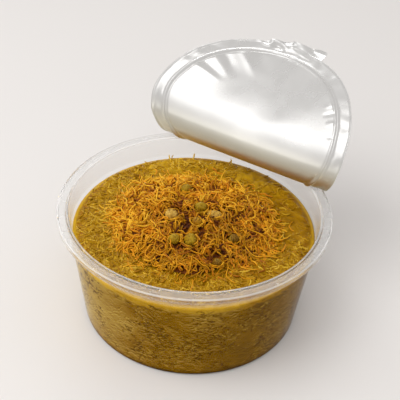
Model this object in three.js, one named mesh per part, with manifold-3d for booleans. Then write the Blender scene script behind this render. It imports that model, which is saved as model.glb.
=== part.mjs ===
// A clear plastic pot of vermicelli pudding: milk pudding with short noodles, a nest of fried
// vermicelli with round toppings on it, and a foil lid that is peeled back and still held at the rear.
// Millimetres, +Z up. The origin is the centre of the pot's flat base, and the front is towards -Y.
import * as THREE from "three";
import { mergeVertices } from "three/addons/utils/BufferGeometryUtils.js";
import Module from "manifold-3d";

// Pot
const RIM_HEIGHT = 42.9;
const FLANGE_RADIUS = 47.5;
const LIP_DROP = 2.1;
const LIP_THICKNESS = 0.7;
const FLANGE_THICKNESS = 0.7;
const WALL = 0.8;
const WALL_TOP_RADIUS = 44.2;
const WALL_BASE_RADIUS = 39.0;
const BASE_CORNER = 1.6;
const BASE_THICKNESS = 0.9;
const OUTER_EDGE_ROUND = 0.5;
const INNER_EDGE_BEVEL = [0.4, 0.5];
const UNDER_FLANGE_BEVEL = [0.5, 0.6];
const POT_SEGMENTS = 54;

// Pudding
const GAP = 0.3;
const FILL_LEVEL = 34.9;
const EDGE_DROP = 0.9;
const EDGE_WIDTH = 2.6;
const SURFACE_BUMP = 0.22;
const SURFACE_WAVES = [[1.1, 0.7], [-0.5, 0.9]];
const CALM_PAST_NEST = [3, 6];
const PUDDING_SEGMENTS = 45;
const PUDDING_RING_INSETS = [0.8, EDGE_WIDTH, 5, 7.5, 10];
const NOODLE_BITS = 26;
const NOODLE_BIT_RADIUS = 0.75;
const NOODLE_BIT_LENGTH = 6.5;
const NOODLE_BIT_STEPS = 3;
const NOODLE_BIT_TURN = 0.9;
const NOODLE_BIT_BEND = 0.5;
const NOODLE_BIT_SUNK = 0.05;
const NOODLE_BIT_DROOP = 0.9;
const NOODLE_BAND = [32.6, 38.6];

// Nest of fried vermicelli
const NEST_RADIUS = 27.5;
const NEST_EDGE_HEIGHT = 0.7;
const NEST_RISE = 4.2;
const NEST_DOME_POWER = 0.8;
const NEST_EDGE_WAVES = [
  { reach: 0.9, waves: 3, shift: 0.6 },
  { reach: 0.7, waves: 7, shift: 0 },
];
const NEST_FOOT_SHARE = 0.97;
const CORE_LUMP = { height: 0.35, waves: [0.55, 0.6], shift: 1.2 };
const NEST_SEGMENTS = 30;
const NEST_RINGS = 5;
const STRANDS = 42;
const STRAND_RADIUS = 0.5;
const STRAND_REACH = 29.5;
const STRAND_INSET = 2.5;
const STRAND_LENGTH = [7, 17];
const STRAND_BEND = 1.6;
const STRAND_OFF_CORE = 0.15;
const STRAND_ARCH = [0.3, 1.2];
const STRAND_STEPS = 5;
const STRAND_SIDES = 5;
const GOLDEN_ANGLE = 2.39996;
const STRAND_SCATTER = 0.4;
const STRAY_STRANDS = 4;
const STRAY_AZIMUTH = THREE.MathUtils.degToRad(-62);
const STRAY_SPACING = THREE.MathUtils.degToRad(13);
const STRAY_RADII = [20, 26, 30, 34.5];
const STRAY_OFF_PUDDING = 0.9;

// Round toppings: x, y and the three half sizes. Their height comes from the nest that they lie on.
const TOPPINGS = [
  { at: [-3.5, 12.9], half: [2.0, 2.0, 1.9] },
  { at: [-8.0, -3.0], half: [2.3, 2.3, 2.1] },
  { at: [2.0, 1.6], half: [2.2, 2.0, 1.9] },
  { at: [6.8, -1.4], half: [2.7, 1.7, 1.5] },
  { at: [0.9, -6.2], half: [1.9, 1.8, 1.8] },
  { at: [-0.8, -15.6], half: [2.2, 2.5, 2.5] },
  { at: [-6.2, -15.2], half: [2.0, 1.9, 1.9] },
  { at: [13.7, -12.7], half: [1.8, 1.8, 1.8] },
  { at: [8.3, -23.6], half: [1.7, 1.7, 1.7] },
];
const TOPPING_PROUD = 0.45;
const TOPPING_AROUND = 10;
const TOPPING_DOWN = 7;

// Foil lid. On the flat sheet, "along" runs from the peel line to the free end and "across" runs
// beside the peel line. Behind the peel line the sheet lies on the flange.
const LID_RADIUS = 47.2;
const LID_THICKNESS = 0.4;
const PEEL_AZIMUTH = THREE.MathUtils.degToRad(60);
const PEEL_OFFSET = 35.6;
const BEND_RADIUS = 5.0;
const BEND_ANGLE = THREE.MathUtils.degToRad(150.3);
const FLAP_RADIUS = 40.5;
const FLAP_CENTRE_ALONG = 15.7;
const FLAP_CENTRE_ACROSS = -2.9;
const FLAP_TROUGH = 0.005;
const TAB_REACH = [1.2, 4.2];
const TAB_START = THREE.MathUtils.degToRad(-9);
const TAB_END = THREE.MathUtils.degToRad(19);
const TAB_SHOULDER = THREE.MathUtils.degToRad(2.5);
const TAB_STEPS = 28;
const LID_TIP = 0.1;
const LID_ROWS_BEHIND = 5;
const LID_ROWS_IN_BEND = 7;
const LID_ROWS_IN_FLAP = 10;
const LID_COLUMNS = 12;

const TURN = 2 * Math.PI;
const MERGE_DISTANCE = 1e-4;
const { clamp, lerp, smoothstep } = THREE.MathUtils;
const wasm = await Module();
wasm.setup();

// Seeded random numbers from 0 to 1, so that the part comes out the same each time.
function randomFrom(seed) {
  let state = seed;
  return () => {
    state = (state + 0x6d2b79f5) | 0;
    let mixed = Math.imul(state ^ (state >>> 15), 1 | state);
    mixed = (mixed + Math.imul(mixed ^ (mixed >>> 7), 61 | mixed)) ^ mixed;
    return ((mixed ^ (mixed >>> 14)) >>> 0) / 4294967296;
  };
}

function solidFrom(geometry) {
  const bare = geometry.clone();
  bare.deleteAttribute("normal");
  bare.deleteAttribute("uv");
  const merged = mergeVertices(bare, MERGE_DISTANCE);
  const vertProperties = new Float32Array(merged.attributes.position.array);
  const triVerts = new Uint32Array(merged.index.array);
  return new wasm.Manifold(new wasm.Mesh({ numProp: 3, vertProperties, triVerts }));
}

function geometryFrom(solid) {
  const mesh = solid.getMesh();
  const positions = [];
  for (let i = 0; i < mesh.vertProperties.length; i += mesh.numProp) {
    positions.push(...mesh.vertProperties.slice(i, i + 3));
  }
  const geometry = new THREE.BufferGeometry();
  geometry.setAttribute("position", new THREE.Float32BufferAttribute(positions, 3));
  geometry.setIndex(Array.from(mesh.triVerts));
  geometry.computeVertexNormals();
  return geometry;
}

// Cutting can leave loose scraps: only the largest piece is kept.
function largestPiece(solid) {
  const pieces = solid.decompose();
  return pieces.reduce((best, piece) => (piece.volume() > best.volume() ? piece : best));
}

// A closed geometry from rows of points of equal length. Each row is a closed loop, and the first
// and last rows are shut by a fan about their middle.
function loftedGeometry(rows) {
  const positions = [];
  const index = [];
  const count = rows[0].length;
  rows.forEach((row) => row.forEach((point) => positions.push(...point)));
  for (let r = 0; r + 1 < rows.length; r++) {
    for (let i = 0; i < count; i++) {
      const a = r * count + i;
      const b = r * count + ((i + 1) % count);
      index.push(a, b, b + count, a, b + count, a + count);
    }
  }
  [0, rows.length - 1].forEach((r) => {
    const middle = [0, 1, 2].map((axis) => rows[r].reduce((sum, p) => sum + p[axis], 0) / count);
    const centre = positions.length / 3;
    positions.push(...middle);
    for (let i = 0; i < count; i++) {
      const a = r * count + i;
      const b = r * count + ((i + 1) % count);
      index.push(...(r === 0 ? [centre, b, a] : [centre, a, b]));
    }
  });
  const geometry = new THREE.BufferGeometry();
  geometry.setAttribute("position", new THREE.Float32BufferAttribute(positions, 3));
  geometry.setIndex(index);
  geometry.computeVertexNormals();
  return geometry;
}

// A round noodle along a list of points.
function noodleSolid(points, radius, sides, steps) {
  const section = new THREE.Shape();
  for (let i = 0; i < sides; i++) {
    const angle = (i / sides) * TURN;
    const corner = [radius * Math.cos(angle), radius * Math.sin(angle)];
    if (i === 0) section.moveTo(...corner);
    else section.lineTo(...corner);
  }
  section.closePath();
  const extrudePath = new THREE.CatmullRomCurve3(points);
  return solidFrom(new THREE.ExtrudeGeometry(section, { steps, extrudePath, bevelEnabled: false }));
}

// Outer radius of the pot's wall at a height.
function wallRadius(z) {
  return WALL_BASE_RADIUS + ((WALL_TOP_RADIUS - WALL_BASE_RADIUS) * z) / RIM_HEIGHT;
}

function potGeometry() {
  const profile = [[0, 0]];
  const arc = (centre, radius, from, to, steps) => {
    for (let i = 0; i <= steps; i++) {
      const angle = from + ((to - from) * i) / steps;
      profile.push([centre[0] + radius * Math.cos(angle), centre[1] + radius * Math.sin(angle)]);
    }
  };
  const flangeUnder = RIM_HEIGHT - FLANGE_THICKNESS;
  const lipInner = FLANGE_RADIUS - LIP_THICKNESS;
  arc([wallRadius(BASE_CORNER) - BASE_CORNER, BASE_CORNER], BASE_CORNER, -TURN / 4, 0, 3);
  const bevelFoot = flangeUnder - UNDER_FLANGE_BEVEL[1];
  profile.push([wallRadius(bevelFoot), bevelFoot]);
  profile.push([wallRadius(flangeUnder) + UNDER_FLANGE_BEVEL[0], flangeUnder]);
  profile.push([lipInner, flangeUnder]);
  profile.push([lipInner, RIM_HEIGHT - LIP_DROP]);
  profile.push([FLANGE_RADIUS, RIM_HEIGHT - LIP_DROP]);
  const outerEdge = [FLANGE_RADIUS - OUTER_EDGE_ROUND, RIM_HEIGHT - OUTER_EDGE_ROUND];
  arc(outerEdge, OUTER_EDGE_ROUND, 0, TURN / 4, 2);
  const mouth = wallRadius(RIM_HEIGHT) - WALL;
  profile.push([mouth + INNER_EDGE_BEVEL[0], RIM_HEIGHT]);
  profile.push([mouth, RIM_HEIGHT - INNER_EDGE_BEVEL[1]]);
  const insideCorner = wallRadius(BASE_CORNER) - WALL - BASE_CORNER;
  arc([insideCorner, BASE_THICKNESS + BASE_CORNER], BASE_CORNER, 0, -TURN / 4, 3);
  profile.push([0, BASE_THICKNESS]);
  return new THREE.LatheGeometry(
    profile.map(([x, y]) => new THREE.Vector2(x, y)),
    POT_SEGMENTS,
  ).rotateX(TURN / 4);
}

// Height of the pudding's surface: level, with low bumps outside the nest and a rounded edge.
function puddingHeight(x, y) {
  const radius = Math.hypot(x, y);
  const edge = wallRadius(FILL_LEVEL) - WALL - GAP;
  const inEdge = clamp((radius - edge + EDGE_WIDTH) / EDGE_WIDTH, 0, 1);
  const [bumpsBegin, bumpsFull] = CALM_PAST_NEST.map((past) => NEST_RADIUS + past);
  const bumpy = smoothstep(radius, bumpsBegin, bumpsFull) * (1 - inEdge);
  const [first, second] = SURFACE_WAVES.map(([alongX, alongY]) => alongX * x + alongY * y);
  const bump = Math.sin(first) * Math.cos(second);
  return FILL_LEVEL + SURFACE_BUMP * bumpy * bump - EDGE_DROP * inEdge * inEdge;
}

function puddingGeometry() {
  const bottom = BASE_THICKNESS + GAP;
  const edgeTop = FILL_LEVEL - EDGE_DROP;
  const insideWall = (z) => wallRadius(z) - WALL - GAP;
  const ring = (radius, height) =>
    Array.from({ length: PUDDING_SEGMENTS }, (_, i) => {
      const x = radius * Math.cos((i / PUDDING_SEGMENTS) * TURN);
      const y = radius * Math.sin((i / PUDDING_SEGMENTS) * TURN);
      return [x, y, height ?? puddingHeight(x, y)];
    });
  const rows = [ring(insideWall(bottom) - BASE_CORNER, bottom)];
  rows.push(ring(insideWall(bottom + BASE_CORNER), bottom + BASE_CORNER));
  rows.push(ring(insideWall(edgeTop), edgeTop));
  PUDDING_RING_INSETS.forEach((inset) => rows.push(ring(insideWall(edgeTop) - inset)));
  return loftedGeometry(rows);
}

// Short noodles that lie half sunk in the pudding, in the open ring round the nest.
function noodleBits() {
  const random = randomFrom(11);
  return Array.from({ length: NOODLE_BITS }, (_, i) => {
    const azimuth = ((i + 0.6 * random()) / NOODLE_BITS) * TURN;
    const radius = lerp(...NOODLE_BAND, random());
    const heading = azimuth + TURN / 4 + (random() - 0.5) * NOODLE_BIT_TURN;
    const bend = (random() - 0.5) * NOODLE_BIT_BEND;
    const middle = [radius * Math.cos(azimuth), radius * Math.sin(azimuth)];
    const points = [-0.5, 0, 0.5].map((t) => {
      const x = middle[0] + t * NOODLE_BIT_LENGTH * Math.cos(heading + bend * t);
      const y = middle[1] + t * NOODLE_BIT_LENGTH * Math.sin(heading + bend * t);
      const z = FILL_LEVEL - NOODLE_BIT_SUNK - Math.abs(t) * NOODLE_BIT_DROOP;
      return new THREE.Vector3(x, y, z);
    });
    return noodleSolid(points, NOODLE_BIT_RADIUS, STRAND_SIDES, NOODLE_BIT_STEPS);
  });
}

// Radius of the nest's uneven outline at an azimuth.
function nestEdge(azimuth) {
  const swell = ({ reach, waves, shift }) => reach * Math.sin(waves * azimuth + shift);
  return NEST_EDGE_WAVES.reduce((radius, wave) => radius + swell(wave), NEST_RADIUS);
}

// Top of the nest's bare core, a low dome.
function coreHeight(x, y) {
  const share = Math.min(1, Math.hypot(x, y) / nestEdge(Math.atan2(y, x)));
  const { height, waves, shift } = CORE_LUMP;
  const lumps = height * Math.sin(waves[0] * x + shift) * Math.cos(waves[1] * y);
  const rise = NEST_RISE * (1 - share * share) ** NEST_DOME_POWER;
  return FILL_LEVEL + GAP + NEST_EDGE_HEIGHT + rise + lumps * (1 - share);
}

function nestCore() {
  const ring = (share, height) =>
    Array.from({ length: NEST_SEGMENTS }, (_, i) => {
      const azimuth = (i / NEST_SEGMENTS) * TURN;
      const x = share * nestEdge(azimuth) * Math.cos(azimuth);
      const y = share * nestEdge(azimuth) * Math.sin(azimuth);
      return [x, y, height ?? coreHeight(x, y)];
    });
  const rows = [ring(NEST_FOOT_SHARE, FILL_LEVEL + GAP)];
  for (let i = NEST_RINGS; i >= 1; i--) rows.push(ring(i / NEST_RINGS));
  return solidFrom(loftedGeometry(rows));
}

// One fried strand, laid over the core in a loose curve, its middle arched a little off it.
function strandSolid(random, middle, length, arch) {
  const heading = TURN * random();
  const bend = (random() - 0.5) * STRAND_BEND;
  const points = [-0.5, -0.25, 0, 0.25, 0.5].map((t) => {
    const angle = heading + bend * t;
    const place = new THREE.Vector2(
      middle[0] + t * length * Math.cos(angle),
      middle[1] + t * length * Math.sin(angle),
    ).clampLength(0, STRAND_REACH);
    const z = coreHeight(place.x, place.y) + STRAND_OFF_CORE + arch * (1 - 4 * t * t);
    return new THREE.Vector3(place.x, place.y, z);
  });
  return noodleSolid(points, STRAND_RADIUS, STRAND_SIDES, STRAND_STEPS);
}

function nestStrands() {
  const random = randomFrom(5);
  return Array.from({ length: STRANDS }, (_, i) => {
    const radius = (NEST_RADIUS - STRAND_INSET) * Math.sqrt((i + 0.5) / STRANDS);
    const azimuth = i * GOLDEN_ANGLE + STRAND_SCATTER * random();
    const towardsMiddle = 1 - i / STRANDS;
    const length = lerp(...STRAND_LENGTH, towardsMiddle * lerp(0.4, 1, random()));
    const middle = [radius * Math.cos(azimuth), radius * Math.sin(azimuth)];
    const arch = lerp(...STRAND_ARCH, random());
    return strandSolid(random, middle, length, arch);
  });
}

// A few long straight strands that stick out over the pudding at the front right.
function strayStrands() {
  return Array.from({ length: STRAY_STRANDS }, (_, i) => {
    const azimuth = STRAY_AZIMUTH + STRAY_SPACING * i;
    const lowest = FILL_LEVEL + GAP + STRAND_RADIUS + STRAY_OFF_PUDDING;
    const points = STRAY_RADII.map((radius) => {
      const x = radius * Math.cos(azimuth);
      const y = radius * Math.sin(azimuth);
      return new THREE.Vector3(x, y, Math.max(lowest, coreHeight(x, y)));
    });
    return noodleSolid(points, STRAND_RADIUS, STRAND_SIDES, STRAND_STEPS);
  });
}

function toppingCentre({ at, half }) {
  const onNest = coreHeight(...at) + TOPPING_PROUD * half[2];
  const overPudding = FILL_LEVEL + 2 * GAP + half[2];
  return new THREE.Vector3(at[0], at[1], Math.max(onNest, overPudding));
}

function toppingGeometry({ half }, clearance) {
  const size = half.map((value) => value + clearance);
  return new THREE.SphereGeometry(1, TOPPING_AROUND, TOPPING_DOWN).rotateX(TURN / 4).scale(...size);
}

// The nest: core and strands in one solid, with a hollow under each topping.
function nestGeometry() {
  const parts = [nestCore(), ...nestStrands(), ...strayStrands()];
  let nest = wasm.Manifold.union(parts);
  TOPPINGS.forEach((topping) => {
    const hollow = toppingGeometry(topping, GAP).translate(...toppingCentre(topping).toArray());
    nest = nest.subtract(solidFrom(hollow));
  });
  return geometryFrom(largestPiece(nest));
}

function puddingSolidGeometry() {
  return geometryFrom(largestPiece(wasm.Manifold.union([solidFrom(puddingGeometry()), ...noodleBits()])));
}

// Radius of the flap's outline at an angle from the "along" direction. The pull tab widens slowly
// towards its far corner and ends there in a short step.
function flapRadius(angle) {
  const rise = smoothstep(angle, TAB_START - 3 * TAB_SHOULDER, TAB_START);
  const fall = 1 - smoothstep(angle, TAB_END, TAB_END + TAB_SHOULDER);
  return FLAP_RADIUS + lerp(...TAB_REACH, smoothstep(angle, TAB_START, TAB_END)) * rise * fall;
}

// How far along the sheet its tab reaches.
function sheetEnd() {
  const reaches = Array.from({ length: TAB_STEPS + 1 }, (_, i) => {
    const angle = lerp(TAB_START, TAB_END, i / TAB_STEPS);
    return flapRadius(angle) * Math.cos(angle);
  });
  return FLAP_CENTRE_ALONG + Math.max(...reaches) - LID_TIP;
}

// Where the sheet's edge lies across the lid, on its left (-1) or right (+1) side.
function sheetEdge(along, side) {
  let low = 0;
  let high = Math.PI;
  for (let i = 0; i < 30; i++) {
    const angle = (low + high) / 2;
    const reached = FLAP_CENTRE_ALONG + flapRadius(side * angle) * Math.cos(angle);
    if (reached > along) low = angle;
    else high = angle;
  }
  const flap = FLAP_CENTRE_ACROSS + side * flapRadius(side * low) * Math.sin(low);
  const rim = side * Math.sqrt(Math.max(0, LID_RADIUS ** 2 - (along - PEEL_OFFSET) ** 2));
  return side > 0 ? Math.min(flap, rim) : Math.max(flap, rim);
}

// The bent sheet's middle surface: a point and the direction that its underside faces.
function sheetPoint(along, across) {
  const turned = clamp(along / BEND_RADIUS, 0, BEND_ANGLE);
  const past = Math.max(0, along - BEND_RADIUS * BEND_ANGLE);
  const onFlange = Math.min(0, along);
  const flapEnd = FLAP_CENTRE_ALONG + FLAP_RADIUS;
  const hollow = clamp((along - BEND_RADIUS) / (flapEnd - BEND_RADIUS), 0, 1);
  const trough = FLAP_TROUGH * (across - FLAP_CENTRE_ACROSS) ** 2 * hollow;
  const inward = onFlange + past * Math.cos(turned) + (BEND_RADIUS + trough) * Math.sin(turned);
  const up = BEND_RADIUS + past * Math.sin(turned) - (BEND_RADIUS + trough) * Math.cos(turned);
  const outwards = PEEL_OFFSET - inward;
  const [c, s] = [Math.cos(PEEL_AZIMUTH), Math.sin(PEEL_AZIMUTH)];
  const height = RIM_HEIGHT + GAP + LID_THICKNESS / 2 + up;
  return {
    point: [outwards * c + across * s, outwards * s - across * c, height],
    facing: [-Math.sin(turned) * c, -Math.sin(turned) * s, -Math.cos(turned)],
  };
}

function lidGeometry() {
  const bendEnd = BEND_RADIUS * BEND_ANGLE;
  const first = PEEL_OFFSET - LID_RADIUS + LID_TIP;
  const last = sheetEnd();
  const places = [];
  for (let i = 0; i < LID_ROWS_BEHIND; i++) {
    places.push(first * Math.cos((i / LID_ROWS_BEHIND) * (TURN / 4)));
  }
  for (let i = 0; i < LID_ROWS_IN_BEND; i++) places.push((bendEnd * i) / LID_ROWS_IN_BEND);
  for (let i = 0; i <= LID_ROWS_IN_FLAP; i++) {
    const share = Math.sin((i / LID_ROWS_IN_FLAP) * (TURN / 4));
    places.push(lerp(bendEnd, last, share));
  }
  const rows = places.map((along) => {
    const [left, right] = [sheetEdge(along, -1), sheetEdge(along, 1)];
    const under = [];
    const over = [];
    for (let i = 0; i <= LID_COLUMNS; i++) {
      const { point, facing } = sheetPoint(along, left + ((right - left) * i) / LID_COLUMNS);
      under.push(point.map((value, axis) => value + (facing[axis] * LID_THICKNESS) / 2));
      over.push(point.map((value, axis) => value - (facing[axis] * LID_THICKNESS) / 2));
    }
    return [...under, ...over.reverse()];
  });
  return shellGeometry(rows);
}

// A thin closed sheet from rows whose first half is one face and second half the other, in reverse.
function shellGeometry(rows) {
  const positions = rows.flat(2);
  const count = rows[0].length;
  const half = count / 2;
  const index = [];
  for (let r = 0; r + 1 < rows.length; r++) {
    for (let i = 0; i < count; i++) {
      const a = r * count + i;
      const b = r * count + ((i + 1) % count);
      index.push(a, b, b + count, a, b + count, a + count);
    }
  }
  for (let i = 0; i + 1 < half; i++) {
    const [a, b, c, d] = [i, i + 1, count - 2 - i, count - 1 - i];
    index.push(a, c, b, a, d, c);
    const base = (rows.length - 1) * count;
    index.push(base + a, base + b, base + c, base + a, base + c, base + d);
  }
  const geometry = new THREE.BufferGeometry();
  geometry.setAttribute("position", new THREE.Float32BufferAttribute(positions, 3));
  geometry.setIndex(index);
  geometry.computeVertexNormals();
  return geometry;
}

function material(color, roughness, metalness = 0, extra = {}) {
  return new THREE.MeshStandardMaterial({ color, roughness, metalness, ...extra });
}

const pot = new THREE.Group();

function addPart(name, geometry, look, position = new THREE.Vector3()) {
  const mesh = new THREE.Mesh(geometry, look);
  mesh.name = name;
  mesh.position.copy(position);
  pot.add(mesh);
}

addPart("cup", potGeometry(), material(0xe9ecec, 0.15, 0, { transparent: true, opacity: 0.35 }));
addPart("pudding", puddingSolidGeometry(), material(0x8f7420, 0.4));
addPart("vermicelli_nest", nestGeometry(), material(0xb9701c, 0.5));
TOPPINGS.forEach((topping, i) => {
  const look = material(0x84762c, 0.45);
  addPart(`topping_${i + 1}`, toppingGeometry(topping, 0), look, toppingCentre(topping));
});
addPart("foil_lid", lidGeometry(), material(0xd9dadb, 0.3, 0.9));

export default pot;
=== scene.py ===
"""Vermicelli pudding in a clear plastic pot, with a nest of fried vermicelli, round toppings and a
peeled foil lid. Lengths are in millimetres until to_object() turns them into Blender's metres."""

import math

import bmesh
import bpy
import numpy as np
from mathutils import Matrix, Vector


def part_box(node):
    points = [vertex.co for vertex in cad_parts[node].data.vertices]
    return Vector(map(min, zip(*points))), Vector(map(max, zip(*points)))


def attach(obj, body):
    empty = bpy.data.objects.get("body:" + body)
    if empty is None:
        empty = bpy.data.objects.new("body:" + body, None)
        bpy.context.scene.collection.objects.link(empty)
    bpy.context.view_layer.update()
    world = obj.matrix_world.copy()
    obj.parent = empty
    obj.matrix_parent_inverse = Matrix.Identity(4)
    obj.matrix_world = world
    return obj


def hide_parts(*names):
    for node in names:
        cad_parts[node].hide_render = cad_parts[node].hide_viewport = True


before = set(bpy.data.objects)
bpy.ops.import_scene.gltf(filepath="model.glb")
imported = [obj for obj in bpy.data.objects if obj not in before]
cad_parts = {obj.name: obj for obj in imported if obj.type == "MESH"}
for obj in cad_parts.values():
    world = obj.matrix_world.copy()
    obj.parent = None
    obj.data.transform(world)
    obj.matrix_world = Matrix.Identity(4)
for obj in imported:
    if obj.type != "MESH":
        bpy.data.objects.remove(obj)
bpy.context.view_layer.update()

MM = 0.001
TURN = 2 * math.pi

# The pot. Its driving sizes are read from the frame where it has them.
RIM_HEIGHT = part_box("cup")[1][2] / MM
FLANGE_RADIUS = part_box("cup")[1][0] / MM
WALL = 0.8
WALL_TOP_RADIUS = 44.2
WALL_BASE_RADIUS = 39.0
BASE_THICKNESS = 0.9
BASE_CORNER = 1.6
LIP_DROP = 2.1
LIP_THICKNESS = 0.7
FLANGE_THICKNESS = 0.7
# Its profile's runs and roundings, and where its outer edge turns milkier: a painted highlight.
BASE_FLAT_RADIUS = 20.0
WALL_FROM = 4.0
UNDER_ROUND = 0.75
LIP_ROUND = 0.3
FLANGE_ROUND = 0.55
MOUTH_ROUND = 0.5
FLANGE_DIP = 0.06
PAINTED_HIGHLIGHT_EDGE_RADIUS = 47.0
POT_SEGMENTS = 192

# The pudding's slot and node, sizes and noodles. Its side is (angle x SIDE_RADIUS, height).
PUDDING = ("pudding", "pudding")
FILL_LEVEL = 34.9
EDGE_DROP = 0.9
EDGE_WIDTH = 2.6
INTO_WALL = 0.08
FOOT_SKIN = 0.15
SIDE_RADIUS = 41.0
SIDE_ROWS = 78
PUDDING_SEGMENTS = 620
BAND_BOTTOM = 31.7
# Azimuths of the side's lightest place, where light is painted on it, and of the surface's busiest.
SIDE_PAINTED_LIGHT = math.radians(183)
SURFACE_BUSY = math.radians(215)
# Radius of the ring of painted shade at the pudding's edge, then of its line of orange-brown spots.
EDGE_PAINTED_SHADE_RADIUS = 39.6
RUST_LINE_RADIUS = 39.7
SIDE_NOODLES = 8200
SIDE_NOODLE_LENGTHS = (0.8, 2.8)
SIDE_NOODLE_GIRTH = (0.13, 0.22)
SURFACE_NOODLES = 4400
SURFACE_NOODLE_LENGTHS = (1.4, 4.8)
SURFACE_NOODLE_GIRTH = (0.17, 0.32)

# The round toppings and the nest. GAP is the solids' clearance.
TOPPINGS = [name for name in sorted(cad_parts) if name.startswith("topping_")]
TOPPING_KINDS = ("olive", "tan", "olive", "tan", "amber", "olive", "olive", "brown", "brown")
NEST = ("fried_vermicelli", "vermicelli_nest")
GAP = 0.3
NEST_RADIUS = 27.5
NEST_EDGE_HEIGHT = 0.7
NEST_RISE = 4.2
# How deep the nest opens between its strands, and where it is darkest.
NEST_OPEN = 4.2
NEST_DARK = (3.0, -8.0)
STRAND_SIDES = 5
STRAY_AZIMUTH = math.radians(-62)
STRAY_SPACING = math.radians(13)
STRAY_REACH = (19, 34)

# The lid's sheet: "along" runs from the peel line to the free end, "across" beside the peel line.
LID_RADIUS = 47.2
LID_SHEET = 0.16
LID_CAD_THICKNESS = 0.4
PEEL_AZIMUTH = math.radians(60)
PEEL_OFFSET = 35.6
BEND_RADIUS = 5.0
BEND_ANGLE = math.radians(150.3)
FLAP_RADIUS = 40.5
FLAP_CENTRE_ALONG = 15.7
FLAP_CENTRE_ACROSS = -2.9
FLAP_TROUGH = 0.005
FLAP_BOW = 1.2
SHOULDER_DROP = 1.8
FOLD_SWELL = 0.75
TAB_REACH = (1.2, 4.2)
TAB_START = math.radians(-9)
TAB_END = math.radians(19)
TAB_SHOULDER = math.radians(2.5)
RING_INSET = 4.9
RING_HEIGHT = 0.5
RING_WIDTH = 0.38
GROOVE_DEPTH = 0.28
GROOVE_WIDTH = 0.34
GROOVE_INSET = 0.95
BORDER_TILT = 0.1
EDGE_CURL = 0.25
LID_ROWS_BEHIND = 18
LID_ROWS_IN_FLAP = 125
LID_ROWS_AT_TIP = 34
LID_TIP = 4
LID_COLUMNS = 170

# Folds in the lid's flap: angle round the flap, how it drifts inwards (degrees a millimetre),
# depth, half width and length. They start at the pressed ring.
LID_FOLDS = (
    (-60, 0.9, 0.3, 1.2, 13),
    (-53, 0.7, -0.24, 1.5, 14),
    (-45, 0.5, 0.16, 1.8, 12),
    (-38, 0.4, -0.35, 2.2, 14),
    (-28, 0.9, 0.3, 1.8, 14),
    (-16, 0.6, -0.2, 2.4, 11),
    (54, 0, 0.22, 0.7, 5),
    (60, 0, -0.28, 0.7, 6),
    (67, 0, 0.25, 0.8, 5),
    (76, 0, -0.2, 0.8, 5),
)

# The photograph's camera, from a fit to the pot's ellipses. The focal length is in pixels of a
# square frame of FRAME_PIXELS.
FRAME_PIXELS = 400
FOCAL_PIXELS = 872.8
CAMERA_DISTANCE = 300.0
CAMERA_ELEVATION = math.radians(36.76)
CAMERA_ROLL = math.radians(3.21)
CAMERA_AIM = (1.58, 0.0, 45.31)

# Colours as linear RGB. Tones run from dark to light.
TOP_TONES = ((0.16, 0.072, 0.001), (0.32, 0.155, 0.002), (0.6, 0.35, 0.012))
SIDE_TONES = ((0.06, 0.027, 0.001), (0.235, 0.113, 0.002), (0.53, 0.36, 0.07))
# The side noodles' dark tone is painted shade for the gaps between them.
SIDE_NOODLE_TONES = ((0.1, 0.042, 0.001), (0.17, 0.075, 0.002), (0.47, 0.3, 0.033))
SURFACE_NOODLE_TONES = ((0.28, 0.13, 0.001), (0.46, 0.245, 0.003), (0.74, 0.48, 0.04))
RUST = (0.3, 0.1, 0.003)
# Painted shade: the deep strands and the nest's core are dark for the nest's depths.
DEEP_PAINTED_SHADE_TONES = ((0.06, 0.012, 0.002), (0.17, 0.042, 0.002), (0.42, 0.14, 0.005))
ORANGE_TONES = ((0.3, 0.09, 0.003), (0.66, 0.24, 0.006), (0.86, 0.4, 0.02))
GOLDEN_TONES = ((0.36, 0.16, 0.002), (0.66, 0.285, 0.005), (0.85, 0.48, 0.028))
TOPPING_TONES = {
    "olive": ((0.1, 0.045, 0.001), (0.3, 0.162, 0.002), (0.47, 0.31, 0.016)),
    "tan": ((0.17, 0.07, 0.003), (0.46, 0.245, 0.02), (0.72, 0.47, 0.11)),
    "amber": ((0.12, 0.04, 0.001), (0.34, 0.145, 0.002), (0.52, 0.3, 0.015)),
    "brown": ((0.05, 0.02, 0.001), (0.19, 0.088, 0.002), (0.34, 0.2, 0.02)),
}
FOIL_TONES = ((0.92, 0.92, 0.91), (0.97, 0.97, 0.96))
# A painted reflection of the pudding in the foil's bend.
FOIL_BEND_PAINTED_REFLECTION = (0.59, 0.52, 0.29)
FLOOR_TONES = ((0.79, 0.77, 0.757), (0.81, 0.79, 0.777))
THROUGH_PLASTIC = (0.93, 0.93, 0.92, 1)
SKY = (1.0, 0.972, 0.95, 1)
LAMP = (1.0, 0.992, 0.98)
CARD = (1.0, 0.99, 0.98)


# ---- numbers and shapes


def smoothstep(value, low, high):
    """0 below low, 1 above high and a smooth rise between them."""
    share = np.clip((value - low) / (high - low), 0, 1)
    return share * share * (3 - 2 * share)


def smooth_noise(x, y, scale, seed):
    """Value noise between -1 and 1 with lumps about scale across."""
    lattice = np.random.default_rng(seed).uniform(-1, 1, (256, 256))
    u = np.asarray(x) / scale + 100
    v = np.asarray(y) / scale + 100
    i, j = np.floor(u).astype(int), np.floor(v).astype(int)
    return bilinear(lattice, i % 255, j % 255, smoothstep(u - i, 0, 1), smoothstep(v - j, 0, 1))


def bilinear(cells, i, j, s, t):
    """Between the four cells from i, j on, a share s along the first axis and t along the other."""
    low = cells[i, j] * (1 - s) + cells[i + 1, j] * s
    high = cells[i, j + 1] * (1 - s) + cells[i + 1, j + 1] * s
    return low * (1 - t) + high * t


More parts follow.
